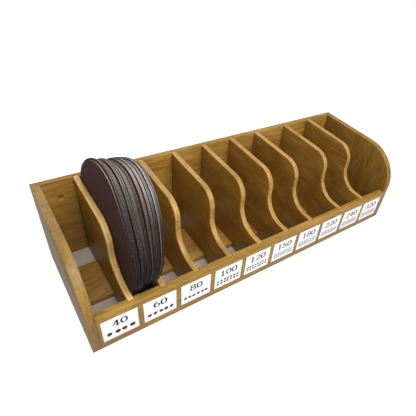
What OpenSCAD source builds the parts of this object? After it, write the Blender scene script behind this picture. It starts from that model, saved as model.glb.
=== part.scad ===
// Wooden rack that stores sanding discs on edge. Nine shaped dividers make ten
// compartments between two end panels, a back panel and a low front rail that carries
// one grit label per compartment. A fanned stack of discs stands in the second one.
// Millimetres. The origin is at the bottom centre of the whole, +Z is up and the
// labelled front faces -Y.

/* [Rack] */
// Depth from the rail's front face to the back panel's back face
rack_depth = 158.5; // [145:0.5:180]
// Height of the end panels, the back panel and the dividers
rack_h = 116; // [100:1:150]
// Height of the front rail
rail_h = 53.5; // [45:0.5:65]
// Radius of the round upper front corner of each end panel
end_corner_r = 56.5; // [20:0.5:60]

/* [Boards] */
// Thickness of an end panel
end_t = 9.5; // [6:0.5:15]
// Thickness of the back panel
back_t = 7; // [5:0.5:12]
// Thickness of the front rail
rail_t = 8.5; // [6:0.5:12]
// Thickness of a divider
divider_t = 7; // [4:0.5:9]
// Thickness of the floor board
floor_t = 7; // [4:0.5:10]
// Width of the floor board, from front to back
floor_board_w = 59; // [40:1:75]
// Open gap between the floor board and the back panel
floor_back_gap = 34; // [15:1:45]

/* [Compartments] */
// Clear width of the first compartment, counted from the left
compartment_1_w = 34.5; // [25:0.5:60]
// Clear width of the second compartment, which holds the discs
compartment_2_w = 29.5; // [25:0.5:60]
// Clear width of the third compartment
compartment_3_w = 34.5; // [25:0.5:60]
// Clear width of the fourth compartment
compartment_4_w = 39; // [25:0.5:60]
// Clear width of the fifth compartment
compartment_5_w = 38.5; // [25:0.5:60]
// Clear width of the sixth compartment
compartment_6_w = 38.5; // [25:0.5:60]
// Clear width of the seventh compartment
compartment_7_w = 38.5; // [25:0.5:60]
// Clear width of the eighth compartment
compartment_8_w = 50; // [25:0.5:60]
// Clear width of the ninth compartment
compartment_9_w = 43.5; // [25:0.5:60]
// Clear width of the tenth compartment
compartment_10_w = 41; // [25:0.5:60]

/* [Divider outline] */
// Distance from the rail's front face to the foremost point of a divider's nose
nose_y = 51; // [45:0.5:65]
// Radius of the nose, where the top edge turns down
nose_r = 23.5; // [10:0.5:25]
// Radius of the hollow that leads from the nose down to the rail's height
hollow_r = 30; // [15:0.5:32]

/* [Joinery] */
// Depth of the grooves that hold the dividers' ends
groove_depth = 3; // [1:0.5:4]
// Side clearance of a board in its groove or notch
groove_clear = 0.1; // [0.05:0.05:0.3]
// Diameter of the panel pins through the end panels
pin_d = 1.2; // [0.8:0.1:2]
// Length of a panel pin
pin_l = 22; // [18:1:30]
// Distance from a board's edge to its outermost panel pin
pin_edge = 12; // [8:0.5:18]
// Clearance around a panel pin and beyond its point
pin_clear = 0.05; // [0.02:0.01:0.1]

/* [Wall holes] */
// Diameter of the two screw holes in the back panel
hang_hole_d = 4; // [3:0.5:6]
// Diameter of their countersinks
hang_head_d = 8; // [7:0.5:10]
// Distance from the back panel's top edge to the screw holes
hang_hole_drop = 24; // [15:0.5:40]

/* [Labels] */
// Width of a label
label_w = 38.7; // [25:0.1:42]
// Height of a label
label_h = 34.2; // [20:0.1:35]
// Distance from the rail's top edge to a label's top edge
label_drop = 8.9; // [2:0.1:9.5]
// Thickness of the label paper
label_t = 0.2; // [0.1:0.05:0.5]

/* [Sanding discs] */
// Diameter of a disc
disc_d = 152; // [148:0.5:158]
// Thickness of a disc, pressed together at the foot of the stack
disc_t = 0.6; // [0.3:0.05:0.7]
// Compartment that holds the discs, counted from the left
disc_compartment = 2; // [1:1:10]
// Clearance between the discs and what they stand on or lean against
disc_clear = 0.3; // [0.2:0.05:0.5]
// Gap between two packs of discs at their lowest point
pack_gap = 0.3; // [0.2:0.05:0.5]
// Lean of the first pack from the upright, in degrees
first_lean = 1.5; // [0:0.5:3]
// Height at which the first pack is wedged above the place where it would rest on the rail
first_lift = 7; // [0:0.5:8]
// The same height for the last pack
last_lift = 2; // [0:0.5:8]

/* [Hidden] */
$fn = 96;
over = 1; // how far a cut runs past the face that it opens

// Compartments and dividers, from left to right
compartment_widths = [
    compartment_1_w, compartment_2_w, compartment_3_w, compartment_4_w, compartment_5_w,
    compartment_6_w, compartment_7_w, compartment_8_w, compartment_9_w, compartment_10_w
];
compartment_count = len(compartment_widths);
divider_count = compartment_count - 1;
function sum_to(list, n) = n <= 0 ? 0 : list[n - 1] + sum_to(list, n - 1);
inner_w = sum_to(compartment_widths, compartment_count) + divider_count * divider_t;
rack_w = inner_w + 2 * end_t;
function compartment_x(i) = end_t + sum_to(compartment_widths, i - 1) + (i - 1) * divider_t;
function divider_x(i) = compartment_x(i + 1) - divider_t;

// Depths, from the rail's front face
back_y = rack_depth - back_t;
floor_y = back_y - floor_back_gap - floor_board_w;
divider_front_y = rail_t - groove_depth;
divider_back_y = back_y + groove_depth;

// Divider outline: the nose and the hollow share the drop from the top to the rail
outline_drop = rack_h - rail_h;
nose_radius = min(nose_r, outline_drop / 2);
hollow_radius = min(hollow_r, outline_drop - nose_radius, nose_y - rail_t);

// Discs: let go, a disc would come to rest on the rail's inner top edge, or on the floor
// board if it is small enough to go down between the rail and the back panel. The stack is
// wedged between two dividers a few millimetres higher, with its back against the back panel.
disc_r = disc_d / 2;
disc_y = back_y - disc_clear - disc_r;
rail_reach = sqrt(max(0, pow(disc_r + disc_clear, 2) - pow(disc_y - rail_t, 2)));
disc_rise = max(rail_reach, floor_t + disc_clear + disc_r - rail_h);
disc_low_z = rail_h + disc_rise - disc_r;
pack_count = 6;
discs_per_pack = 5;
pack_t = discs_per_pack * disc_t;
packs_w = pack_count * pack_t + (pack_count - 1) * pack_gap;
first_pack_x = compartment_x(disc_compartment) + disc_clear;
last_lean = atan((compartment_widths[disc_compartment - 1] - 2 * disc_clear - packs_w)
                 / (rack_h - disc_low_z));
function pack_lean(p) = first_lean + (last_lean - first_lean) * (p - 1) / (pack_count - 1);
function pack_lift(p) = first_lift + (last_lift - first_lift) * (p - 1) / (pack_count - 1);

// Depth of the whole, and where its middle lies
front_y = min(-label_t, disc_y - disc_r);
centre_y = (front_y + rack_depth) / 2;

// Labels: one in the middle of each tenth of the inner width
grits = [40, 60, 80, 100, 120, 150, 180, 220, 240, 320];
label_pitch = inner_w / len(grits);
label_z = rail_h - label_drop - label_h;

// Heights and depths of the panel pins, as [y, z]
rail_pins = [for (z = [pin_edge, rail_h - pin_edge]) [rail_t / 2, z]];
back_pins = [for (z = [pin_edge, rack_h / 2, rack_h - pin_edge]) [rack_depth - back_t / 2, z]];
floor_pins = [for (y = [floor_y + pin_edge, floor_y + floor_board_w - pin_edge]) [y, floor_t / 2]];
pin_places = concat(rail_pins, back_pins, floor_pins);

wood = "#c0964f";
wood_light = "#cda561";
wood_deep = "#a87c3a";
paper_white = "#f4f4f2";
disc_maroon = "#4a2628";
steel = "#9a9a9c";

// Puts what is measured from the rack's lower left front corner into the part's frame
module in_rack() {
    translate([-rack_w / 2, -centre_y, 0]) children();
}

// Extrudes a side outline, drawn as [y, z], to the right from x = 0
module side_board(thickness) {
    rotate([90, 0, 90]) linear_extrude(thickness) children();
}

module end_panel_outline() {
    corner = min(end_corner_r, rack_h - rail_h);
    translate([corner, 0]) square([rack_depth - corner, rack_h]);
    square([corner, rack_h - corner]);
    intersection() {
        translate([corner, rack_h - corner]) circle(corner);
        translate([0, rack_h - corner]) square(corner);
    }
}

// Panel pins as they lie in the left end of the rack, grown all round by clearance
module pins(clearance) {
    for (place = pin_places)
        translate([-clearance, place[0], place[1]])
            rotate([0, 90, 0]) cylinder(d = pin_d + 2 * clearance, h = pin_l + 2 * clearance);
}

// The same at both ends of the rack, for drilling the boards
module pin_holes() {
    pins(pin_clear);
    translate([rack_w, 0, 0]) mirror([1, 0, 0]) pins(pin_clear);
}

module left_end_panel() {
    color(wood_light) in_rack() difference() {
        side_board(end_t) end_panel_outline();
        pin_holes();
    }
}

module right_end_panel() {
    color(wood_light) in_rack() difference() {
        translate([rack_w - end_t, 0, 0]) side_board(end_t) end_panel_outline();
        pin_holes();
    }
}

// Upright grooves for the dividers' ends, cut from one face of a long board
module divider_grooves(y, depth) {
    for (i = [1:divider_count])
        translate([divider_x(i) - groove_clear, y, -over])
            cube([divider_t + 2 * groove_clear, depth, rack_h + 2 * over]);
}

// Countersunk hole for a wall screw, bored from the back panel's inner face
module hang_hole() {
    sink = (hang_head_d - hang_hole_d) / 2;
    rotate([-90, 0, 0]) {
        translate([0, 0, -over]) cylinder(d = hang_hole_d, h = back_t + 2 * over);
        cylinder(d1 = hang_head_d, d2 = hang_hole_d, h = sink);
    }
}

module back_panel() {
    color(wood_deep) in_rack() difference() {
        translate([end_t, back_y, 0]) cube([inner_w, back_t, rack_h]);
        divider_grooves(back_y - over, groove_depth + over);
        for (i = [1, compartment_count])
            translate([compartment_x(i) + compartment_widths[i - 1] / 2, back_y,
                       rack_h - hang_hole_drop])
                hang_hole();
        pin_holes();
    }
}

module front_rail() {
    color(wood) in_rack() difference() {
        translate([end_t, 0, 0]) cube([inner_w, rail_t, rail_h]);
        divider_grooves(divider_front_y, groove_depth + over);
        pin_holes();
    }
}

module floor_board() {
    color(wood) in_rack() difference() {
        translate([end_t, floor_y, 0]) cube([inner_w, floor_board_w, floor_t]);
        pin_holes();
    }
}

module left_panel_pins() {
    color(steel) in_rack() pins(0);
}

module right_panel_pins() {
    color(steel) in_rack() translate([rack_w, 0, 0]) mirror([1, 0, 0]) pins(0);
}

// Side outline of a divider: level at the rail's height, up through the hollow, round
// the nose and level along the top, with a notch that straddles the floor board
module divider_outline() {
    nose_z = rack_h - nose_radius;
    hollow_y = nose_y - hollow_radius;
    difference() {
        union() {
            translate([divider_front_y, 0]) square([divider_back_y - divider_front_y, rail_h]);
            translate([hollow_y, 0]) square([divider_back_y - hollow_y, rail_h + hollow_radius]);
            translate([nose_y, 0]) square([divider_back_y - nose_y, nose_z]);
            translate([nose_y + nose_radius, 0])
                square([divider_back_y - nose_y - nose_radius, rack_h]);
            translate([nose_y + nose_radius, nose_z]) circle(nose_radius);
        }
        translate([hollow_y, rail_h + hollow_radius]) circle(hollow_radius);
        translate([floor_y - groove_clear, -over])
            square([floor_board_w + 2 * groove_clear, floor_t + groove_clear + over]);
    }
}

module divider(i) {
    color(wood) in_rack()
        translate([divider_x(i), 0, 0]) side_board(divider_t) divider_outline();
}

module label(i) {
    color(paper_white) in_rack()
        translate([end_t + (i + 0.5) * label_pitch - label_w / 2, -label_t, label_z])
            cube([label_w, label_t, label_h]);
}

// Disc d of pack p, both counted from the left. The discs of a pack lie flat together and
// lean to the right. Each is as high above the rail's edge as its pack is lifted.
module disc(p, d) {
    lean = pack_lean(p);
    pack_x = first_pack_x + (p - 1) * (pack_t + pack_gap);
    rail_edge = (rail_h - disc_low_z + d * disc_t * sin(lean)) / cos(lean);
    color(disc_maroon) in_rack()
        translate([pack_x, disc_y, disc_low_z]) rotate([0, lean, 0])
            translate([(d - 1) * disc_t, 0, rail_edge + disc_rise + pack_lift(p)])
                rotate([0, 90, 0]) cylinder(r = disc_r, h = disc_t);
}

left_end_panel();
right_end_panel();
back_panel();
front_rail();
floor_board();
left_panel_pins();
right_panel_pins();
for (i = [1:divider_count])
    divider(i);
for (i = [0:len(grits) - 1])
    label(i);
for (p = [1:pack_count], d = [1:discs_per_pack])
    disc(p, d);
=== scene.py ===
# %% [markdown]
# A rack for sanding discs: ten upright compartments between two end panels, with one grit label
# each on a low front rail, and a thick stack of discs in the second compartment. The rack's
# sizes come from its construction model, which is loaded first and never moved. Everything
# here adds what that model leaves out: eased edges, lacquer, grain, ink and bent paper.

# %% Load the construction model
import bpy, math, random
import numpy as np
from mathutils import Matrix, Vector


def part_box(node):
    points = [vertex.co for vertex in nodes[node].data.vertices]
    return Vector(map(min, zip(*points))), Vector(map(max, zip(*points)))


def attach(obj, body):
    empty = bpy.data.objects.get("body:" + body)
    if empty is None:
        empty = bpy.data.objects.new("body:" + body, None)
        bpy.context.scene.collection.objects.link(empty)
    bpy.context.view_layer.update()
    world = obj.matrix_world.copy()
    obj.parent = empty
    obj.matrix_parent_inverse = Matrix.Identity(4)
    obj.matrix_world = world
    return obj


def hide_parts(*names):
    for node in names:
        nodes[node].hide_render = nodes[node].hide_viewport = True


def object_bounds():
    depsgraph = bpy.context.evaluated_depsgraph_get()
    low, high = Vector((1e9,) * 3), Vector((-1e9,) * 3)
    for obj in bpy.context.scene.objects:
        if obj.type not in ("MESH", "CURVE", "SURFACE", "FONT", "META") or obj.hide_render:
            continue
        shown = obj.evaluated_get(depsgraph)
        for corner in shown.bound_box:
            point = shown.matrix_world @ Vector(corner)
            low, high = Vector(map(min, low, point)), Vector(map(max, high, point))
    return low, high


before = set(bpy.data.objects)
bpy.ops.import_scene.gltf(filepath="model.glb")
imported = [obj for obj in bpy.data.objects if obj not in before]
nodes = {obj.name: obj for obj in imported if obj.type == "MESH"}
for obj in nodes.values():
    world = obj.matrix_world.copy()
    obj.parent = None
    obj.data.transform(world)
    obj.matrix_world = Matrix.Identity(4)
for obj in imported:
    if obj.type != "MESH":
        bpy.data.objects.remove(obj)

MM = 0.001
cad_box = [list(corner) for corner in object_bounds()]
scene = bpy.context.scene
scene.view_settings.view_transform = "Standard"
print("CAD nodes:", len(nodes), "box:", cad_box)

# %% [markdown]
# The camera stands to the left, above and in front, and looks down into the compartments. A
# wide lens close by makes the near end of the rack much larger than the far end, which is how
# a phone held at arm's length sees it. The lens is shifted a little, as in a cropped picture.

# %% Camera
bpy.ops.object.camera_add(location=(-0.25817, -0.31664, 0.39206),
                          rotation=[math.radians(a) for a in (49.801, -7.341, -36.145)])
camera = bpy.context.object
camera.name = "camera"
camera.data.lens = 32.649
camera.data.sensor_width = 36
camera.data.shift_x = -0.1129
camera.data.shift_y = 0.0025
camera.data.clip_start = 0.01
scene.camera = camera
print("camera at", [round(c, 3) for c in camera.location])

# %% [markdown]
# Colours are written as the hex values that a paint card would give and turned to the linear
# values that the shaders use. One function adds a shader node, sets it up and links it, so
# that a material reads from top to bottom as a list of steps.

# %% Colour and shader helpers
def colour(hex_value):
    srgb = [int(hex_value[i:i + 2], 16) / 255 for i in (1, 3, 5)]
    return [c / 12.92 if c <= 0.04045 else ((c + 0.055) / 1.055) ** 2.4 for c in srgb] + [1]


def new_material(name):
    material = bpy.data.materials.new(name)
    material.use_nodes = True
    return material, material.node_tree, material.node_tree.nodes["Principled BSDF"]


def add(tree, kind, settings=None, values=None, links=None):
    """Adds a node; values sets its input sockets, and links joins them to other sockets."""
    node = tree.nodes.new("ShaderNode" + kind)
    for key, value in (settings or {}).items():
        setattr(node, key, value)
    for key, value in (values or {}).items():
        node.inputs[key].default_value = value
    for key, socket in (links or {}).items():
        tree.links.new(socket, node.inputs[key])
    return node


def ramp(tree, factor, *stops):
    """A colour ramp: stops are (position, hex colour)."""
    node = add(tree, "ValToRGB", links={0: factor})
    elements = node.color_ramp.elements
    while len(elements) < len(stops):
        elements.new(0.5)
    for element, (place, hex_value) in zip(elements, stops):
        element.position = place
        element.color = colour(hex_value)
    return node.outputs[0]


print("maroon is", [round(c, 3) for c in colour("#3C2426")])

# %% [markdown]
# The rack stands on a white sheet. Plain white paper would come out grey beside the white
# surroundings, so the sheet glows, but only for the camera and in reflections. It keeps a faint
# shadow near the rack, and turns as white as its surroundings further away.

# %% Glowing white sheet
# Middle of the sheet, in metres: it lies 0.2 mm under the rack's feet, and mostly behind them
SHEET_Y, SHEET_Z = 0.6, -0.2 * MM


def white_table():
    material, tree, shader = new_material("white_paper_table")
    path = add(tree, "LightPath")
    paper = add(tree, "BsdfDiffuse", values={"Color": colour("#A8A8A8")})
    shadow = add(tree, "BsdfDiffuse", values={"Color": colour("#6C6C6C")})
    place = add(tree, "TexCoord").outputs["Object"]
    from_rack = add(tree, "VectorMath", {"operation": "DISTANCE"}, values={1: (0, -SHEET_Y, 0)},
                    links={0: place})
    level = add(tree, "MapRange", values={"From Min": 0.5, "From Max": 1.3, "To Min": 0.93,
                                          "To Max": 1.0}, links={"Value": from_rack.outputs["Value"]})
    glow = add(tree, "Emission", values={"Color": (1, 1, 1, 1)},
               links={"Strength": level.outputs["Result"]})
    shown = add(tree, "AddShader", links={0: shadow.outputs[0], 1: glow.outputs[0]})
    mirrored = add(tree, "Math", {"operation": "MULTIPLY"}, values={1: 0.6},
                   links={0: path.outputs["Is Glossy Ray"]})
    seen = add(tree, "Math", {"operation": "MAXIMUM"},
               links={0: path.outputs["Is Camera Ray"], 1: mirrored.outputs[0]})
    both = add(tree, "MixShader", links={0: seen.outputs[0], 1: paper.outputs[0],
                                         2: shown.outputs[0]})
    tree.links.new(both.outputs[0], tree.nodes["Material Output"].inputs[0])
    tree.nodes.remove(shader)
    return material


sheet_material = white_table()
print("sheet:", sheet_material.name)

# %% [markdown]
# The table also shows through the open gaps in the rack's floor. A glowing sheet would shine
# there as a bright stripe. So a patch under the rack is cut out of the sheet and gets plain
# paper, which is as dark as the little light that reaches it. Its warm beige tint is painted
# light, for the warm glow that the wood bounces onto it.

# %% Table with a shaded patch
def shaded_table():
    material, tree, shader = new_material("paper_under_the_rack")
    fibre = add(tree, "TexCoord")
    noise = add(tree, "TexNoise", values={"Scale": 60, "Detail": 3},
                links={"Vector": fibre.outputs["Object"]})
    # warm beige: painted light, for the warm glow that the wood bounces onto the paper
    shade = ramp(tree, noise.outputs["Fac"], (0.3, "#B6AA9C"), (0.7, "#C2B6A8"))
    tree.links.new(shade, shader.inputs["Base Color"])
    shader.inputs["Roughness"].default_value = 0.9
    return material


def deselect():
    bpy.ops.object.select_all(action="DESELECT")


deselect()
low, high = Vector(cad_box[0]), Vector(cad_box[1])
bpy.ops.mesh.primitive_plane_add(size=4, location=(0, SHEET_Y, SHEET_Z))
table = bpy.context.object
table.name = "table"
table.data.materials.append(sheet_material)
table.data.materials.append(shaded_table())
# the patch stays inside the rack's outline, by 6 mm at the front and 4 mm on the other sides
FRONT_INSET, INSET = 6 * MM, 4 * MM
bpy.ops.object.mode_set(mode="EDIT")
for point, normal in (((low.x + INSET, 0, 0), (1, 0, 0)), ((high.x - INSET, 0, 0), (1, 0, 0)),
                      ((0, low.y + FRONT_INSET, 0), (0, 1, 0)), ((0, high.y - INSET, 0), (0, 1, 0))):
    bpy.ops.mesh.select_all(action="SELECT")
    bpy.ops.mesh.bisect(plane_co=point, plane_no=normal)
bpy.ops.object.mode_set(mode="OBJECT")
for face in table.data.polygons:
    middle = table.matrix_world @ face.center
    face.material_index = int(abs(middle.x) < high.x and abs(middle.y) < high.y)
print("table faces:", len(table.data.polygons))

# %% [markdown]
# A large soft lamp hangs above the front, and a weak, wide one stands behind. Surroundings that
# light the rack as strongly as they show would fill every shadow between the dividers, and dim
# ones would take the shine off the lacquer. So they cast little light, but are mirrored brightly.

# %% Lamps and surrounding light
def square_lamp(name, place, size, watts):
    """Adds a square soft lamp that faces the rack."""
    place = Vector(place)
    bpy.ops.object.light_add(type="AREA", location=place,
                             rotation=(-place).to_track_quat("-Z", "Y").to_euler())
    lamp = bpy.context.object
    lamp.name = name
    lamp.data.shape = "SQUARE"
    lamp.data.size = size
    lamp.data.energy = watts
    return lamp


lamps = [square_lamp("softbox_above_the_front", (-0.02, -0.70, 0.98), size=0.9, watts=20),
         square_lamp("weak_fill_behind", (-0.10, 0.85, 0.80), size=1.8, watts=7)]
# How bright the surroundings are: as the light that they cast, and as a mirrored picture
WORLD_FILL, WORLD_MIRRORED = 0.19, 0.8

world = bpy.data.worlds.new("studio")
scene.world = world
world.use_nodes = True
tree = world.node_tree
path = add(tree, "LightPath")
mirrored = add(tree, "MapRange", values={"To Min": WORLD_FILL, "To Max": WORLD_MIRRORED},
               links={"Value": path.outputs["Is Glossy Ray"]})
strength = add(tree, "Math", {"operation": "MAXIMUM"},
               links={0: path.outputs["Is Camera Ray"], 1: mirrored.outputs["Result"]})
background = tree.nodes["Background"]
background.inputs["Color"].default_value = (1, 1, 1, 1)
tree.links.new(strength.outputs[0], background.inputs["Strength"])
print("lamp watts:", [lamp.data.energy for lamp in lamps])

# %% [markdown]
# The rack is made of thin boards with a golden satin lacquer. Lacquer soaks unevenly into
# wood: the dense late wood stays light, the open grain drinks it and turns darker, and broad
# cloudy patches run through the whole board. All of it is long along the grain and narrow
# across it. A picture of wood could be wrapped round each board, but it would repeat, and it
# would have to be fitted at every edge. Noise that is stretched along the grain fills the whole
# board, so the pattern runs on from a face to its edges.

# %% Noise along the grain
def grain_noise(tree, measure, per_metre, detail=3, distortion=0.0):
    """Noise stretched along the grain: per_metre is how often it repeats on each axis."""
    mapping = add(tree, "Mapping", values={"Scale": per_metre}, links={"Vector": measure})
    noise = add(tree, "TexNoise", values={"Scale": 1.0, "Detail": detail, "Roughness": 0.55,
                                          "Distortion": distortion},
                links={"Vector": mapping.outputs[0]})
    return noise.outputs["Fac"]


print("grain noise ready")

# %% [markdown]
# One function makes every wood of the rack, from four colours and a few strengths. It looks up
# each point's own measure, which is kept in the mesh as an attribute: how far the point lies
# along the grain, across it, and through the board's thickness. Plywood also shows the dark
# line of its middle veneer, so it is given a colour for that core.

# %% Lacquered wood
def lacquered_wood(name, pale, middle, deep, dark, core=None, half_core=0.0, cloudy=0.55, shine=0.35):
    material, tree, shader = new_material(name)
    measure = add(tree, "Attribute", {"attribute_name": "grain"}).outputs["Vector"]
    # streaks 5 mm wide and 90 mm long, clouds 28 mm by 70 mm, pores 1 mm by 14 mm
    streaks = grain_noise(tree, measure, (11, 210, 210))
    clouds = grain_noise(tree, measure, (14, 36, 36), distortion=0.6)
    pores = grain_noise(tree, measure, (70, 1000, 1000))
    blend = add(tree, "Mix", {"data_type": "FLOAT"},
                links={"Factor": add(tree, "Math", {"operation": "MULTIPLY"},
                                     values={1: 2 * cloudy}, links={0: clouds}).outputs[0],
                       "A": streaks, "B": clouds})
    tone = ramp(tree, blend.outputs[0], (0.24, dark), (0.40, deep), (0.54, middle), (0.74, pale))
    if core:
        # the middle veneer of plywood lies across the others and soaks up more lacquer
        through = add(tree, "SeparateXYZ", links={0: measure}).outputs[2]
        depth = add(tree, "Math", {"operation": "ABSOLUTE"}, links={0: through})
        inside = add(tree, "MapRange", {"interpolation_type": "SMOOTHSTEP"},
                     values={"From Min": half_core + 0.0004, "From Max": half_core - 0.0004},
                     links={"Value": depth.outputs[0]})
        speck = grain_noise(tree, measure, (700, 90, 300), detail=2)
        heart = ramp(tree, speck, (0.35, core), (0.65, deep))
        layered = add(tree, "Mix", {"data_type": "RGBA"},
                      links={"Factor": inside.outputs["Result"], "A": tone, "B": heart})
        tone = layered.outputs[2]
    pored = add(tree, "Mix", {"data_type": "RGBA", "blend_type": "MULTIPLY"},
                links={"Factor": add(tree, "MapRange",
                                     values={"From Min": 0.50, "From Max": 0.70, "To Max": 0.55},
                                     links={"Value": pores}).outputs["Result"], "A": tone})
    pored.inputs["B"].default_value = colour(dark)
    tree.links.new(pored.outputs[2], shader.inputs["Base Color"])
    gloss = add(tree, "MapRange", values={"To Min": 0.34, "To Max": 0.50},
                links={"Value": clouds})
    tree.links.new(gloss.outputs["Result"], shader.inputs["Roughness"])
    shader.inputs["IOR"].default_value = 1.45
    shader.inputs["Specular IOR Level"].default_value = shine
    height = add(tree, "Math", {"operation": "MULTIPLY_ADD"}, values={1: 0.4},
                 links={0: pores, 2: streaks})
    bump = add(tree, "Bump", values={"Strength": 0.25, "Distance": 0.0004},
               links={"Height": height.outputs[0]})
    tree.links.new(bump.outputs["Normal"], shader.inputs["Normal"])
    return material


print("lacquered wood ready")

# %% [markdown]
# The parts of the rack were not cut from one plank. The end panels are the darkest and
# dullest, and the rounded plywood edges are the palest. Eight separate materials take little
# more room than one with eight settings, and each can be changed without touching the others.

# %% The woods of this rack
panel_wood = lacquered_wood("lacquered_panel_wood", "#A47E3E", "#906C2E", "#7E5C26", "#6A481A",
                            cloudy=0.8, shine=0.2)
long_wood = lacquered_wood("lacquered_board_wood", "#B08A46", "#9C7634", "#866028", "#6C4818")
rail_wood = lacquered_wood("lacquered_rail_wood", "#B49048", "#A07E38", "#8C6A2C", "#74521C")
# lighter in its deeper tones than the board wood: painted light for the plank, which lies in shade
painted_lighter_floor_wood = lacquered_wood("lacquered_floor_wood", "#B08A46", "#A07A3A", "#8E682E", "#7A5624",
                            cloudy=0.8)
edge_wood = lacquered_wood("lacquered_sanded_edge", "#A58444", "#917034", "#7C5C24", "#644416",
                           cloudy=0.6)
face_wood = lacquered_wood("lacquered_plywood_face", "#B0863E", "#9E7430", "#8C6426", "#78541E",
                           cloudy=0.75)
ply_wood = lacquered_wood("lacquered_plywood_edge", "#C49A54", "#B48C46", "#9C7636", "#805A22",
                          core="#8E6C36", half_core=0.0004, shine=0.45)
# a paler copy of the plywood edge, for the first divider only: painted light on that edge
painted_lighter_ply = lacquered_wood("lacquered_pale_plywood_edge", "#E4BE80", "#D6AE66", "#C0964E", "#A07834",
                          core="#AC8A4E", half_core=0.0004, shine=0.45)
print("wood:", [wood.name for wood in (panel_wood, long_wood, rail_wood, painted_lighter_floor_wood,
                                         edge_wood, face_wood, ply_wood, painted_lighter_ply)])

# %% [markdown]
# Every board could be modelled afresh, but it starts as a copy of its construction solid,
# because that has the grooves, notches and screw holes in the right places. A solid from a CAD
# program is loose triangles, which can't be rounded. So the copy is joined up, and its flat
# faces are made whole again.

# %% Copy a board from its solid
def select_only(piece):
    deselect()
    piece.select_set(True)
    bpy.context.view_layer.objects.active = piece


def edit(piece):
    select_only(piece)
    bpy.ops.object.mode_set(mode="EDIT")


def object_mode():
    bpy.ops.object.mode_set(mode="OBJECT")


def copy_of(node_name, name):
    mesh = nodes[node_name].data.copy()
    mesh.name = name
    mesh.materials.clear()
    piece = bpy.data.objects.new(name, mesh)
    scene.collection.objects.link(piece)
    edit(piece)
    bpy.ops.mesh.customdata_custom_splitnormals_clear()
    bpy.ops.mesh.select_all(action="SELECT")
    bpy.ops.mesh.remove_doubles(threshold=1e-6)
    bpy.ops.mesh.dissolve_limited(angle_limit=math.radians(0.5))
    object_mode()
    return piece


print("nodes to copy from:", len(nodes))

# %% [markdown]
# The solid has knife edges. On the rack the long corners have a narrow round, from the sanding
# block that goes over them before the lacquer. A plain bevel modifier would also round the
# corners of grooves and drilled holes, which stay sharp. So each board comes with a rule that
# says which edges are wanted.

# %% Ease the edges
def ease_edges(piece, wanted, width, steps=2):
    """Rounds the outer corners that wanted(middle of the edge) picks, by width metres."""
    edit(piece)
    bpy.ops.mesh.select_all(action="DESELECT")
    bpy.ops.mesh.select_mode(type="EDGE")
    bpy.ops.mesh.edges_select_sharp(sharpness=math.radians(40))
    object_mode()
    mesh = piece.data
    for e in mesh.edges:
        a, b = (mesh.vertices[i].co for i in e.vertices)
        if e.select and ((a - b).length < 0.001 or not wanted(a, b)):
            e.select = False
    count = sum(e.select for e in mesh.edges)
    edit(piece)
    bpy.ops.mesh.select_mode(type="EDGE")
    bpy.ops.mesh.bevel(offset=width, segments=steps, clamp_overlap=False)
    bpy.ops.mesh.select_all(action="DESELECT")
    object_mode()
    return count


print("edges can be eased")

# %% [markdown]
# Last, a board gets its measure along the grain and its wood, and is tied to the body that
# carries it. Each board starts at another place in the endless noise, so that no two of them
# look as if they were cut from the same spot.

# %% Grain and wood for a board
def measure_grain(piece, along, across, through, shift):
    """Stores each point's place along the grain, across it and through the board."""
    points = np.zeros(len(piece.data.vertices) * 3)
    piece.data.vertices.foreach_get("co", points)
    points = points.reshape(-1, 3)
    middle = (points.min(0) + points.max(0)) / 2
    grain = np.stack([points[:, along] + shift, points[:, across] + shift * 0.37,
                      points[:, through] - middle[through]], 1)
    layer = piece.data.attributes.new("grain", "FLOAT_VECTOR", "POINT")
    layer.data.foreach_set("vector", grain.astype(np.float32).ravel())


def finish_board(piece, node_name, material, edge_material=None):
    """Gives the board its wood; edge_material goes on all faces that don't look along X."""
    piece.data.materials.append(material)
    if edge_material:
        piece.data.materials.append(edge_material)
        for face in piece.data.polygons:
            face.material_index = int(abs(face.normal.x) < 0.9)
    select_only(piece)
    bpy.ops.object.shade_smooth_by_angle(angle=math.radians(30))
    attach(piece, "caddy")
    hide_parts(node_name)


print("boards can be finished")

# %% [markdown]
# The end panels are thick, with a large round corner at the front. Their grain stands upright.
# The whole outline is eased on both faces. Its edges could be picked by hand, but a rule is
# shorter: they are the ones that lie in either side of the board's box.

# %% End panels
SAME = 1e-5   # metres: two places closer than this are one


def on_outline(box_low, box_high):
    """Picks edges that lie in either side of a board whose thickness runs along X."""
    def wanted(a, b):
        return any(abs(a.x - side.x) < SAME and abs(b.x - side.x) < SAME
                   for side in (box_low, box_high))
    return wanted


for side, shift in (("left", 0.31), ("right", 1.77)):
    node = side + "_end_panel"
    panel = copy_of(node, side + "_panel_board")
    eased = ease_edges(panel, on_outline(*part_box(node)), width=0.7 * MM)
    measure_grain(panel, along=2, across=1, through=0, shift=shift)
    finish_board(panel, node, panel_wood, edge_wood)
    print(node, "eased edges:", eased)

# %% [markdown]
# The back panel, the rail and the floor board run the whole length between the end panels,
# with their grain along it. Only their four long corners are eased: a corner in the shape of
# the board's own box, seen from the end.

# %% Back panel, rail and floor board
def on_long_corners(box_low, box_high):
    """Picks edges along X whose depth and height are both at the board's outside."""
    def wanted(a, b):
        return (abs(a.y - b.y) < SAME and abs(a.z - b.z) < SAME
                and min(abs(a.y - box_low.y), abs(a.y - box_high.y)) < SAME
                and min(abs(a.z - box_low.z), abs(a.z - box_high.z)) < SAME)
    return wanted


# For each: its name, its wood, where its grain starts, and the axes across and through it
BOARDS = {"back_panel": ("back_board", long_wood, 0.55, 2, 1),
          "front_rail": ("label_rail", rail_wood, 3.42, 2, 1),
          "floor_board": ("floor_plank", painted_lighter_floor_wood, 5.13, 1, 2)}
for node, (name, wood, shift, across, through) in BOARDS.items():
    board = copy_of(node, name)
    eased = ease_edges(board, on_long_corners(*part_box(node)), width=0.5 * MM)
    measure_grain(board, along=0, across=across, through=through, shift=shift)
    finish_board(board, node, wood)
    print(node, "eased edges:", eased)

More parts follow.
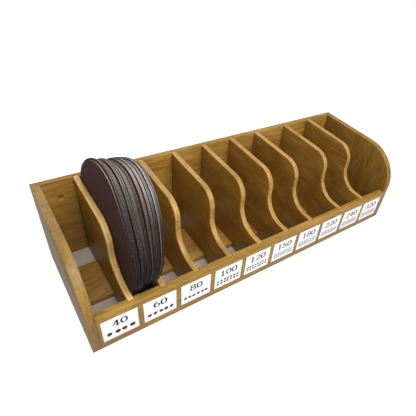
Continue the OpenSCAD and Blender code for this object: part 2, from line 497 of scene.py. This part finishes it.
# %% [markdown]
# The two screw holes in the back panel are drilled and countersunk through the lacquer. Their
# walls are bare matt wood, a little darker in the bore than in the countersink. The holes are
# in the solid already, so their faces only have to be found, by their distance from the middle
# of each hole, and given a wood of their own.

# %% Drilled holes
def drilled_wood():
    material, tree, shader = new_material("bare_drilled_wood")
    place = add(tree, "TexCoord").outputs["Object"]
    torn = add(tree, "TexNoise", values={"Scale": 900, "Detail": 2}, links={"Vector": place})
    depth = add(tree, "MapRange", values={"From Min": 0.0725, "From Max": 0.0750},
                links={"Value": add(tree, "SeparateXYZ", links={0: place}).outputs[1]})
    rough = add(tree, "Math", {"operation": "MULTIPLY_ADD"}, values={1: 0.2},
                links={0: torn.outputs["Fac"], 2: depth.outputs["Result"]})
    shade = ramp(tree, rough.outputs[0], (0.10, "#A07838"), (0.60, "#9A7236"), (0.95, "#8A6230"))
    tree.links.new(shade, shader.inputs["Base Color"])
    shader.inputs["Roughness"].default_value = 0.95
    shader.inputs["Specular IOR Level"].default_value = 0.1
    return material


back_board = bpy.data.objects["back_board"]
back_board.data.materials.append(drilled_wood())
HOLE_REACH = 4.5 * MM   # just past the rim of a countersink
HOLES = ((-208.00 * MM, 92 * MM), (204.75 * MM, 92 * MM))   # middle of each hole, across and up
drilled = 0
for face in back_board.data.polygons:
    if abs(face.normal.y) < 0.95 and any(
            math.hypot(face.center.x - x, face.center.z - z) < HOLE_REACH for x, z in HOLES):
        face.material_index = 1
        drilled += 1
print("drilled faces:", drilled)

# %% [markdown]
# The nine dividers are plywood. Their edge is rounded over, paler than the faces, and shows a
# darker line along the middle veneer. On the first divider it is painted paler still, as painted
# light. The grain of the faces runs from front to back. One loop makes them all, because little
# else differs.

# %% Dividers
for i in range(1, 10):
    node = f"divider_{i}"
    divider = copy_of(node, f"divider_board_{i}")
    eased = ease_edges(divider, on_outline(*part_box(node)), width=1.6 * MM, steps=3)
    measure_grain(divider, along=1, across=2, through=0, shift=0.83 * i)
    finish_board(divider, node, face_wood, painted_lighter_ply if i == 1 else ply_wood)
print("dividers: 9, eased edges on each:", eased)

# %% [markdown]
# Headless panel pins hold the end panels. They are bright steel inside the wood. Their outer
# ends are filled over and lacquered with the panel, so each shows at most as a small spot. The
# filler could be a piece of its own, but one material that turns from steel to filler close to
# the outer face does the same.

# %% Panel pins
FILLER_DEEP = 0.8 * MM


def pin_steel():
    material, tree, shader = new_material("steel_pin_with_wood_filler")
    place = add(tree, "TexCoord").outputs["Object"]
    across = add(tree, "SeparateXYZ", links={0: place}).outputs[0]
    outward = add(tree, "Math", {"operation": "ABSOLUTE"}, links={0: across})
    filled = add(tree, "Math", {"operation": "GREATER_THAN"}, values={1: high.x - FILLER_DEEP},
                 links={0: outward.outputs[0]})
    drawn = add(tree, "TexNoise", values={"Scale": 2500, "Detail": 2}, links={"Vector": place})
    steel = ramp(tree, drawn.outputs["Fac"], (0.3, "#8E8E90"), (0.7, "#B4B4B6"))
    filler = ramp(tree, drawn.outputs["Fac"], (0.3, "#8F6A30"), (0.7, "#A47C3C"))
    tone = add(tree, "Mix", {"data_type": "RGBA"},
               links={"Factor": filled.outputs[0], "A": steel, "B": filler})
    metal = add(tree, "Math", {"operation": "SUBTRACT"}, values={0: 1.0},
                links={1: filled.outputs[0]})
    tree.links.new(tone.outputs[2], shader.inputs["Base Color"])
    tree.links.new(metal.outputs[0], shader.inputs["Metallic"])
    shader.inputs["Roughness"].default_value = 0.42
    return material


def finish_node(node_name, material):
    slots = nodes[node_name].material_slots
    if not slots:
        nodes[node_name].data.materials.append(material)
    for slot in slots:
        slot.material = material


pin_material = pin_steel()
for node in ("left_panel_pins", "right_panel_pins"):
    finish_node(node, pin_material)
print("pins use", pin_material.name)

# %% [markdown]
# Each label is a slip of bright white paper stuck to the rail. Its solid is right as it is, so
# it only gets the paper: matt, with a faint unevenness from the fibres.

# %% Paper labels
def white_paper():
    material, tree, shader = new_material("white_label_paper")
    place = add(tree, "TexCoord").outputs["Object"]
    fibre = add(tree, "TexNoise", values={"Scale": 900, "Detail": 3}, links={"Vector": place})
    tone = ramp(tree, fibre.outputs["Fac"], (0.3, "#F3F3F1"), (0.7, "#FAFAF9"))
    tree.links.new(tone, shader.inputs["Base Color"])
    bump = add(tree, "Bump", values={"Strength": 0.1, "Distance": 0.0001},
               links={"Height": fibre.outputs["Fac"]})
    tree.links.new(bump.outputs["Normal"], shader.inputs["Normal"])
    shader.inputs["Roughness"].default_value = 0.65
    return material


grits = (40, 60, 80, 100, 120, 150, 180, 220, 240, 320)
paper = white_paper()
for grit in grits:
    finish_node(f"label_{grit}", paper)
print("labels:", len(grits))

# %% [markdown]
# The numbers are printed in a wide book type, thick on the upright strokes and thin on the
# level ones. The fonts that come with the program have no such type, so the figures are drawn
# with a pen: a stroke follows a line of points, and it is as wide as the line is steep. Each
# figure is drawn once in a square of its own.

# %% Figures drawn with a pen
def arc(cx, cy, rx, ry, start, end):
    count = max(8, int(abs(end - start) / 12))
    angles = [math.radians(start + (end - start) * i / count) for i in range(count + 1)]
    return [(cx + rx * math.cos(a), cy + ry * math.sin(a)) for a in angles]


# Points from 0 to 1, to the right and up
FIGURES = {
    "0": [arc(0.5, 0.5, 0.40, 0.47, 0, 360)],
    "1": [[(0.52, 0.97), (0.52, 0.03)], [(0.22, 0.03), (0.82, 0.03)],
          [(0.52, 0.95), (0.24, 0.80)]],
    "2": [arc(0.48, 0.71, 0.36, 0.26, 165, -35) + [(0.10, 0.05)], [(0.10, 0.06), (0.88, 0.06)],
          [(0.88, 0.05), (0.92, 0.22)]],
    "3": [arc(0.46, 0.74, 0.33, 0.23, 160, -90), arc(0.46, 0.27, 0.40, 0.25, 90, -160)],
    "4": [[(0.66, 0.97), (0.66, 0.03)], [(0.64, 0.96), (0.07, 0.30), (0.95, 0.30)],
          [(0.42, 0.03), (0.90, 0.03)]],
    "5": [[(0.24, 0.94), (0.86, 0.94)], [(0.23, 0.95), (0.19, 0.50)],
          arc(0.45, 0.31, 0.41, 0.29, 130, -160)],
    "6": [arc(0.50, 0.29, 0.39, 0.27, 0, 360), arc(0.76, 0.33, 0.65, 0.62, 100, 180)],
    "8": [arc(0.5, 0.74, 0.32, 0.23, 0, 360), arc(0.5, 0.27, 0.40, 0.25, 0, 360)],
}
print("figures:", " ".join(FIGURES))

# %% [markdown]
# The ink could be a picture on the paper, but a picture goes coarse when seen close. Here it is
# a film of its own that stands a hair in front of the label. Its back lies inside the paper, so
# no gap shows from the side.

# %% A film of ink
FIGURE_W, FIGURE_H, FIGURE_STEP = 7.6 * MM, 9.8 * MM, 8.5 * MM
THICK, THIN = 1.05 * MM, 0.42 * MM   # half of the widest and of the narrowest stroke
INK_PROUD, INK_THICK = 0.03 * MM, 0.04 * MM


def pen_stroke(points, verts, faces):
    """Adds one stroke as a strip of quads: points are (right, up) in metres."""
    steps = [Vector(p) for p in points]
    first = len(verts)
    for i, p in enumerate(steps):
        way = (steps[min(i + 1, len(steps) - 1)] - steps[max(i - 1, 0)]).normalized()
        half = THIN + (THICK - THIN) * abs(way.y) ** 1.5
        side = Vector((-way.y, way.x)) * half
        verts += [(p + side), (p - side)]
        if i:
            k = first + 2 * i
            faces.append((k - 2, k - 1, k + 1, k))


def printed(name, strokes, blobs, ink_y):
    """A thin film of ink that faces -Y, from strokes and filled outlines."""
    verts, faces = [], []
    for points in strokes:
        pen_stroke(points, verts, faces)
    for outline in blobs:
        faces.append(tuple(range(len(verts), len(verts) + len(outline))))
        verts += [Vector(p) for p in outline]
    mesh = bpy.data.meshes.new(name)
    mesh.from_pydata([(v.x, ink_y, v.y) for v in verts], [], faces)
    piece = bpy.data.objects.new(name, mesh)
    scene.collection.objects.link(piece)
    for face in piece.data.polygons:
        if face.normal.y > 0:
            face.flip()
    select_only(piece)
    piece.modifiers.new("film", "SOLIDIFY").thickness = INK_THICK
    bpy.ops.object.modifier_apply(modifier="film")
    return piece


print("ink film stands out by, mm:", round(INK_PROUD / MM, 3))

# %% [markdown]
# Under each number stands a band of grains. Coarse paper has a few big ones and fine paper
# has rows of small ones, so the labels can be told apart at a glance. The grains are drawn by
# chance from a fixed seed: each has its own shape, and every run gives the same ones.

# %% Ink: numbers and grains
def black_ink():
    material, tree, shader = new_material("matt_black_ink")
    place = add(tree, "TexCoord").outputs["Object"]
    blot = add(tree, "TexNoise", values={"Scale": 700, "Detail": 2}, links={"Vector": place})
    tone = ramp(tree, blot.outputs["Fac"], (0.3, "#151824"), (0.7, "#202432"))
    tree.links.new(tone, shader.inputs["Base Color"])
    shader.inputs["Roughness"].default_value = 0.6
    return material


def grain_outline(centre, size, rng):
    """One abrasive grain: a broken stone with six to eight corners."""
    count = rng.randint(6, 8)
    turn = rng.uniform(0, math.tau)
    return [(centre[0] + size / 2 * rng.uniform(0.78, 1.0) * math.cos(turn + math.tau * i / count),
             centre[1] + size / 2 * rng.uniform(0.78, 1.0) * math.sin(turn + math.tau * i / count))
            for i in range(count)]


GRAIN_ROWS = {40: (1, 4), 60: (1, 5), 80: (1, 6), 100: (2, 7), 120: (2, 8), 150: (3, 9),
              180: (3, 10), 220: (3, 12), 240: (4, 14), 320: (4, 16)}
BAND_W, BAND_H = 33 * MM, 9.4 * MM
# From a label's top edge down to the foot of its number, and to the middle of its band
NUMBER_DOWN, BAND_DOWN = 14.8 * MM, 25.0 * MM
ink = black_ink()
rng = random.Random(7)
for grit in grits:
    box_low, box_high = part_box(f"label_{grit}")
    middle_x, top_z = (box_low.x + box_high.x) / 2, box_high.z
    text = str(grit)
    start = middle_x - ((len(text) - 1) * FIGURE_STEP + FIGURE_W) / 2
    strokes = [[(start + i * FIGURE_STEP + u * FIGURE_W, top_z - NUMBER_DOWN + v * FIGURE_H)
                for u, v in points]
               for i, figure in enumerate(text) for points in FIGURES[figure]]
    rows, count = GRAIN_ROWS[grit]
    size = min(BAND_H / rows * 0.86, BAND_W / count * 0.88)
    blobs = [grain_outline((middle_x + ((i + 0.5) / count - 0.5) * BAND_W
                            + rng.uniform(-0.1, 0.1) * size,
                            top_z - BAND_DOWN + ((row + 0.5) / rows - 0.5) * BAND_H), size, rng)
             for row in range(rows) for i in range(count)]
    number = printed(f"print_{grit}", strokes, blobs, box_low.y - INK_PROUD)
    number.data.materials.append(ink)
    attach(number, "caddy")
print("printed labels:", len(grits), "ink film faces on the last:", len(number.data.polygons))

# %% [markdown]
# A sanding disc is a sheet of paper with maroon grit glued to its left side and a grey looped
# pile on its right side, which grips the sander. One disc is modelled flat and one millimetre
# thick, then copied. The face is inset again and again, so that it has rings of points and can
# bend later. The rim loses its corner on the pile side, where the loops are soft.

# %% One flat disc
DISC_MM = 76   # radius
DISC_R = DISC_MM * MM
RIM_CUT = 0.3 * MM
deselect()
bpy.ops.mesh.primitive_cylinder_add(vertices=144, radius=DISC_R, depth=1 * MM,
                                    end_fill_type="NGON", rotation=(0, math.pi / 2, 0))
flat_disc = bpy.context.object
flat_disc.name = "flat_disc"
bpy.ops.object.transform_apply(location=False, rotation=True, scale=False)
edit(flat_disc)
bpy.ops.mesh.select_all(action="DESELECT")
bpy.ops.mesh.select_mode(type="FACE")
object_mode()
for face in flat_disc.data.polygons:
    face.select = abs(face.normal.x) > 0.9
edit(flat_disc)
for width in (0.5, 5, 8, 11, 12, 12, 12):
    bpy.ops.mesh.inset(thickness=width * MM)
bpy.ops.mesh.poke()
bpy.ops.mesh.select_all(action="DESELECT")
bpy.ops.mesh.select_mode(type="VERT")
object_mode()
for vertex in flat_disc.data.vertices:
    vertex.select = vertex.co.x > 0 and math.hypot(vertex.co.y, vertex.co.z) > DISC_R - SAME
edit(flat_disc)
bpy.ops.transform.translate(value=(-RIM_CUT, 0, 0))
object_mode()
print("flat disc faces:", len(flat_disc.data.polygons))

# %% [markdown]
# The stack is pressed together at its foot, between two dividers, and fans out above them: the
# pile swells, gaps open between the packs, and the tops flop to the right over the divider. A
# cloth simulation of thirty sheets that touch would be slow and hard to steer. Instead the two
# outer faces of the stack are given as curved surfaces, and the discs share the room between.

# %% Outer faces of the stack
PACKS, PER_PACK = 6, 5
DISCS = PACKS * PER_PACK
# All in mm, with x from the rack's left, y from its front and z from the table: the rail's top
# and back, the back panel's face, the rack's depth and the gap that the discs keep to both
RAIL_TOP, RAIL_BACK, BACK_FACE, RACK_DEPTH, CLEAR = 53.5, 8.5, 151.5, 158.5, 0.3
rack_left, rack_front = low.x, high.y - RACK_DEPTH * MM
FOOT_Z, TOP_Z = 14.55, 166.5   # lowest and highest points of the stack, about
MIDDLE_Y, MIDDLE_Z = 75, 93    # middle of the discs, about


def first_face(y, z):
    """Left face of the first disc: upright at the foot, curving to the right above."""
    above_rail = np.clip((z - RAIL_TOP) / 60, 0, 1)
    spread = np.maximum(110 - y, 0) / 110 * above_rail ** 2 * (3 - 2 * above_rail)
    return 51.35 + 6.6 * (np.maximum(z - 85, 0) / 88) ** 3.3 + spread


def last_face(y, z):
    """Right face of the last disc: it leans on the divider, folds over the divider's top, and
    spreads to the right in front of the divider's nose."""
    over_top = 13.9 * (np.maximum(z - 103, 0) / 65.3) ** 1.8
    above_rail = np.clip((z - RAIL_TOP) / 46.5, 0, 1)
    spread = 5.6 * (np.maximum(55 - y, 0) / 55) ** 1.2 * above_rail ** 2 * (3 - 2 * above_rail)
    return 70.4 + 0.091 * (z - FOOT_Z) + over_top + spread


print("stack width at foot and top, mm:",
      [round(float(last_face(MIDDLE_Y, z) - first_face(MIDDLE_Y, z)), 1) for z in (FOOT_Z, TOP_Z)])

# %% [markdown]
# Each disc is given its share of the stack's width, at the foot and at the top, and every point
# of it moves to that share. Neighbours keep their order, so no disc cuts into the next. Waves
# in the sheets and cracks between the clumps keep the stack from looking machined.

# %% Each disc's share
# How far each disc is wedged above its rest on the rail: the first two stand highest
LIFTS = (5.4, 5.4, 5.2, 4.5, 2.6, 1.6, 1.8, 2.6, 3.3, 3.6, 3.4, 2.6, 1.6, 0.9, 0.6,
         0.6, 0.9, 1.6, 2.0, 2.2, 2.4, 2.4, 2.4, 2.4, 2.4, 2.4, 2.2, 2.0, 1.8, 1.7)
# Cracks that open between the clumps: disc on their left, width, middle height, half height
CRACKS = {1: (0.9, 168, 14), 6: (1.3, 118, 34), 11: (0.7, 92, 26), 16: (1.5, 138, 38),
          21: (0.5, 100, 30), 25: (0.5, 120, 45)}
rng = random.Random(11)
waves = [(rng.choice((1, 2, 3)), rng.uniform(0, 6.3), rng.choice((2, 3, 4)), rng.uniform(0, 6.3))
         for k in range(DISCS)]
foot_width, top_width = 0.56, [rng.uniform(0.88, 1.08) for k in range(DISCS)]
foot_gap = [0.25 if k % PER_PACK == 4 else 0.04 for k in range(DISCS)]
top_gap = [0.4 if k % PER_PACK == 4 else rng.choice((0.05, 0.08, 0.15, 0.4)) for k in range(DISCS)]


def place_in_stack(k, y, z, through):
    """Where disc k lies at depth y and height z: all widths and gaps there are added up."""
    fan = np.clip((z - 25) / 140, 0, 1) ** 1.5
    angle, reach = np.arctan2(z - MIDDLE_Z, y - MIDDLE_Y), np.hypot(z - MIDDLE_Z, y - MIDDLE_Y) / DISC_MM
    place, starts = np.zeros_like(z), []
    for i in range(DISCS):
        slow, shift_a, quick, shift_b = waves[i]
        swell = 1 + 0.12 * reach ** 2 * np.sin(slow * angle + shift_a)
        width = (foot_width * (1 - fan) + top_width[i] * fan) * swell
        wander = 1 + 0.8 * reach ** 2 * np.sin(quick * angle + shift_b) / 1.1
        starts.append((place, width))
        wide, middle, half = CRACKS.get(i, (0, 0, 1))
        crack = wide * reach ** 2 * np.exp(-((z - middle) / half) ** 2)
        place = place + width + (foot_gap[i] * (1 - fan) + top_gap[i] * fan) * wander + crack
    share = (starts[k][0] + starts[k][1] * through) / (starts[-1][0] + starts[-1][1])
    return first_face(y, z) + (last_face(y, z) - first_face(y, z)) * share, share


print("discs:", DISCS, "cracks:", len(CRACKS), "highest wedged, mm:", max(LIFTS))

# %% [markdown]
# The grit is aluminium oxide in a maroon resin: matt, dark, with fine bright specks. Modelled
# one by one, the grains would take millions of faces, so they are noise in the colour and in
# the bump. Real ones are a third of a millimetre, and are drawn about twice as coarse so that
# they show.

# %% Maroon grit
def maroon_grit():
    material, tree, shader = new_material("maroon_aluminium_oxide_grit")
    place = add(tree, "TexCoord").outputs["Object"]
    grains = add(tree, "TexNoise", values={"Scale": 1500, "Detail": 2, "Roughness": 0.7},
                 links={"Vector": place})
    worn = add(tree, "TexNoise", values={"Scale": 28, "Detail": 4, "Distortion": 0.4},
               links={"Vector": place})
    base = ramp(tree, worn.outputs["Fac"], (0.35, "#381E1E"), (0.55, "#412526"),
                (0.75, "#482B2C"))
    speck = add(tree, "MapRange", values={"From Min": 0.60, "From Max": 0.75, "To Max": 0.5},
                links={"Value": grains.outputs["Fac"]})
    tone = add(tree, "Mix", {"data_type": "RGBA"},
               links={"Factor": speck.outputs["Result"], "A": base})
    tone.inputs["B"].default_value = colour("#6A4E4C")
    tree.links.new(tone.outputs[2], shader.inputs["Base Color"])
    bump = add(tree, "Bump", values={"Strength": 0.4, "Distance": 0.0003},
               links={"Height": grains.outputs["Fac"]})
    tree.links.new(bump.outputs["Normal"], shader.inputs["Normal"])
    shader.inputs["Roughness"].default_value = 0.8
    shader.inputs["Specular IOR Level"].default_value = 0.25
    return material


grit_material = maroon_grit()
print("grit:", grit_material.name)

# %% [markdown]
# The pile is brushed nylon loops: grey with a mauve cast, fuzzy at the rim, and a little
# different on each disc, since the stack is of many batches. Its colour also holds painted light
# and shade: a painted highlight at the top, and painted shade, darker and more maroon, lower down
# where the discs are pressed together. Thirty materials would be hard to keep alike, so one serves
# all the discs, and what differs is kept in each mesh as an attribute called leaf: the disc's
# batch, how cool its grey is, and how far up the painted black shadow of its foot goes.

# %% Grey pile
OFF_RIM = -0.1   # marks the points away from a disc's rim, in the slot for the height of the painted black foot shadow


def grey_pile():
    material, tree, shader = new_material("grey_looped_nylon_pile")
    leaf = add(tree, "Attribute", {"attribute_name": "leaf"}).outputs["Vector"]
    batch, cool, foot_shadow_rise = add(tree, "SeparateXYZ", links={0: leaf}).outputs
    place = add(tree, "TexCoord").outputs["Object"]
    fuzz = add(tree, "TexNoise", values={"Scale": 650, "Detail": 4, "Roughness": 0.75},
               links={"Vector": place})
    patch = add(tree, "TexNoise", values={"Scale": 45, "Detail": 3}, links={"Vector": place})
    mixed = add(tree, "Math", {"operation": "MULTIPLY_ADD"}, values={1: 0.65},
                links={0: fuzz.outputs["Fac"], 2: batch})
    shifted = add(tree, "Math", {"operation": "MULTIPLY_ADD"}, values={1: 0.3},
                  links={0: patch.outputs["Fac"], 2: mixed.outputs[0]})
    loops = ramp(tree, shifted.outputs[0], (0.30, "#908C8C"), (0.55, "#C8C4C4"),
                 (0.80, "#ECEAEA"), (1.0, "#FFFFFF"))
    # painted light and shade by height: a painted highlight at the top, and darker, more maroon
    # painted shade lower down, where the discs are pressed together; the foot of each disc,
    # which never sees light, gets a painted black shadow
    height = add(tree, "SeparateXYZ", links={0: place}).outputs[2]
    shade_height = add(tree, "Math", {"operation": "MULTIPLY_ADD"}, values={1: 0.014},
                links={0: cool, 2: height})
    rise = add(tree, "MapRange", values={"From Min": 0.054, "From Max": 0.174},
               links={"Value": shade_height.outputs[0]})
    painted_shade = ramp(tree, rise.outputs["Result"], (0.18, "#2C1F1E"), (0.50, "#382D2C"),
                (0.78, "#544A48"), (0.90, "#857B77"), (0.97, "#BEB4B0"))
    shade_by_batch = add(tree, "MapRange", values={"From Min": 0.25, "From Max": 0.75, "To Min": 1.0,
                                         "To Max": 0.82}, links={"Value": batch})
    # the painted shade is full on the cut rim; the flat pile face inside it gets half of it
    shade_on_rim = add(tree, "MapRange", values={"From Min": OFF_RIM, "From Max": 0.0, "To Min": 0.5},
              links={"Value": foot_shadow_rise})
    shade_strength = add(tree, "Math", {"operation": "MULTIPLY"},
               links={0: shade_by_batch.outputs["Result"], 1: shade_on_rim.outputs["Result"]})
    with_painted_shade = add(tree, "Mix", {"data_type": "RGBA", "blend_type": "MULTIPLY"},
                 links={"Factor": shade_strength.outputs[0], "A": loops, "B": painted_shade})
    cold = add(tree, "MapRange", values={"From Min": 0.9}, links={"Value": cool})
    tint = add(tree, "Mix", {"data_type": "RGBA"}, values={"A": (1, 1, 1, 1)},
               links={"Factor": cold.outputs["Result"]})
    tint.inputs["B"].default_value = colour("#E6F5F7")
    tinted = add(tree, "Mix", {"data_type": "RGBA", "blend_type": "MULTIPLY"},
                 values={"Factor": 1.0}, links={"A": with_painted_shade.outputs[2], "B": tint.outputs[2]})
    # a painted black shadow over the foot of each disc, where the rims turn under
    own_height = add(tree, "Math", {"operation": "SUBTRACT"}, links={0: height, 1: foot_shadow_rise})
    foot_shadow = add(tree, "MapRange", values={"From Min": 0.063, "From Max": 0.068, "To Min": 0.02},
               links={"Value": own_height.outputs[0]})
    specks = add(tree, "TexNoise", values={"Scale": 1100, "Detail": 1}, links={"Vector": place})
    lint = add(tree, "MapRange", values={"From Min": 0.68, "From Max": 0.74, "To Max": 0.5},
               links={"Value": specks.outputs["Fac"]})
    linted = add(tree, "Mix", {"data_type": "RGBA"},
                 links={"Factor": lint.outputs["Result"], "A": tinted.outputs[2]})
    linted.inputs["B"].default_value = colour("#A89E9A")
    tone = add(tree, "Mix", {"data_type": "RGBA", "blend_type": "MULTIPLY"},
               values={"Factor": 1.0}, links={"A": linted.outputs[2], "B": foot_shadow.outputs["Result"]})
    tree.links.new(tone.outputs[2], shader.inputs["Base Color"])
    bump = add(tree, "Bump", values={"Strength": 0.6, "Distance": 0.0005},
               links={"Height": fuzz.outputs["Fac"]})
    tree.links.new(bump.outputs["Normal"], shader.inputs["Normal"])
    shader.inputs["Roughness"].default_value = 0.9
    # the painted foot shadow also takes the shine and sheen off the foot
    shine = add(tree, "Math", {"operation": "MULTIPLY"}, values={1: 0.1},
                links={0: foot_shadow.outputs["Result"]})
    tree.links.new(shine.outputs[0], shader.inputs["Specular IOR Level"])
    tree.links.new(shine.outputs[0], shader.inputs["Sheen Weight"])
    shader.inputs["Sheen Roughness"].default_value = 0.4
    return material


pile_material = grey_pile()
print("pile:", pile_material.name)

# %% [markdown]
# Every disc is the flat one again, with each point moved to where it lies in the stack. It
# keeps a hair's breadth off the back panel, and is wedged a little above the height at which it
# would rest on the rail. The rims are slightly wavy, as those of stamped paper are.

# %% Bend one disc
RIM_FROM = 0.985   # share of the radius at which the cut rim begins
RIPPLES = ((0.12, 5, 1.7), (0.08, 11, 0.9))   # mm high, waves around the disc, turn per disc


def bend_disc(k, name, radius_mm, batch):
    """Copies the flat disc and moves each point to disc k's share of the stack."""
    piece = bpy.data.objects.new(name, flat_disc.data.copy())
    scene.collection.objects.link(piece)
    mesh = piece.data
    points = np.zeros(len(mesh.vertices) * 3)
    mesh.vertices.foreach_get("co", points)
    points = points.reshape(-1, 3) / MM
    through = np.clip(points[:, 0] + 0.5, 0, 1)
    angle = np.arctan2(points[:, 2], points[:, 1])
    reach = np.hypot(points[:, 1], points[:, 2]) / DISC_MM
    ripple = sum(high_mm * np.sin(count * angle + turn * k) for high_mm, count, turn in RIPPLES)
    radius = radius_mm - sum(high_mm for high_mm, count, turn in RIPPLES) + ripple * reach
    centre_y = BACK_FACE - CLEAR - radius_mm
    on_rail = math.sqrt((radius_mm + CLEAR) ** 2 - (centre_y - RAIL_BACK) ** 2)
    centre_z = RAIL_TOP + on_rail + LIFTS[k]
    y = centre_y + radius * reach * np.cos(angle)
    z = centre_z + (radius * reach * np.sin(angle)) * 0.999
    x, share = place_in_stack(k, y, z, through)
    z = z - 6.5 * share ** 1.3 * (np.maximum(z - 100, 0) / 68) ** 2   # a bent top is lower
    placed = np.stack([rack_left + x * MM, rack_front + y * MM, z * MM], 1)
    mesh.vertices.foreach_set("co", placed.astype(np.float32).ravel())
    # cool: how cool its grey is. Next, how much higher than on other discs the painted black
    # foot shadow reaches. Away from the rim, OFF_RIM keeps it off and halves the painted shade.
    cool, foot_shadow_rise = min(max((k - 15) / 8, 0), 1), (8.5 * MM if 11 <= k <= 23 else 0.0)
    leaf = np.stack([np.full(len(x), batch), np.full(len(x), cool),
                     np.where(reach > RIM_FROM, foot_shadow_rise, OFF_RIM)], 1)
    layer = mesh.attributes.new("leaf", "FLOAT_VECTOR", "POINT")
    layer.data.foreach_set("vector", leaf.astype(np.float32).ravel())
    mesh.update()
    mesh.materials.append(grit_material)
    mesh.materials.append(pile_material)
    for face in mesh.polygons:
        face.material_index = int(face.normal.x > -0.7)
    return piece


print("ripples around a rim:", len(RIPPLES))

# %% [markdown]
# One loop makes the thirty discs. Five neighbours form a pack, which lifts out as one, so each
# disc rides on its pack's body. The discs are not quite of one size, and a few are paler than
# the rest. Those few are listed, and chance from a fixed seed sets the others.

# %% Thirty bent discs
rng = random.Random(23)
PALE = {0: 0.16, 7: 0.28, 12: 0.30, 17: 0.34, 22: 0.30, 26: 0.52, 29: 0.2}   # paler discs
discs = []
for k in range(DISCS):
    pack, place = k // PER_PACK + 1, k % PER_PACK + 1
    worn = -0.14 if k < 9 else 0.08 if k < 23 else 0.0   # the first discs are the darkest
    batch = PALE.get(k, rng.choice((0.0, 0.05, 0.10, 0.18)) + worn)
    radius_mm = DISC_MM - rng.uniform(0, 0.45)
    disc = bend_disc(k, f"sanding_disc_{pack}_{place}", radius_mm, batch)
    select_only(disc)
    bpy.ops.object.shade_smooth_by_angle(angle=math.radians(40))
    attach(disc, f"disc_pack_{pack}")
    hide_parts(f"disc_{pack}_{place}")
    discs.append(disc)
bpy.data.objects.remove(flat_disc)
print("discs:", len(discs), "triangles in each:",
      sum(len(f.vertices) - 2 for f in discs[0].data.polygons))
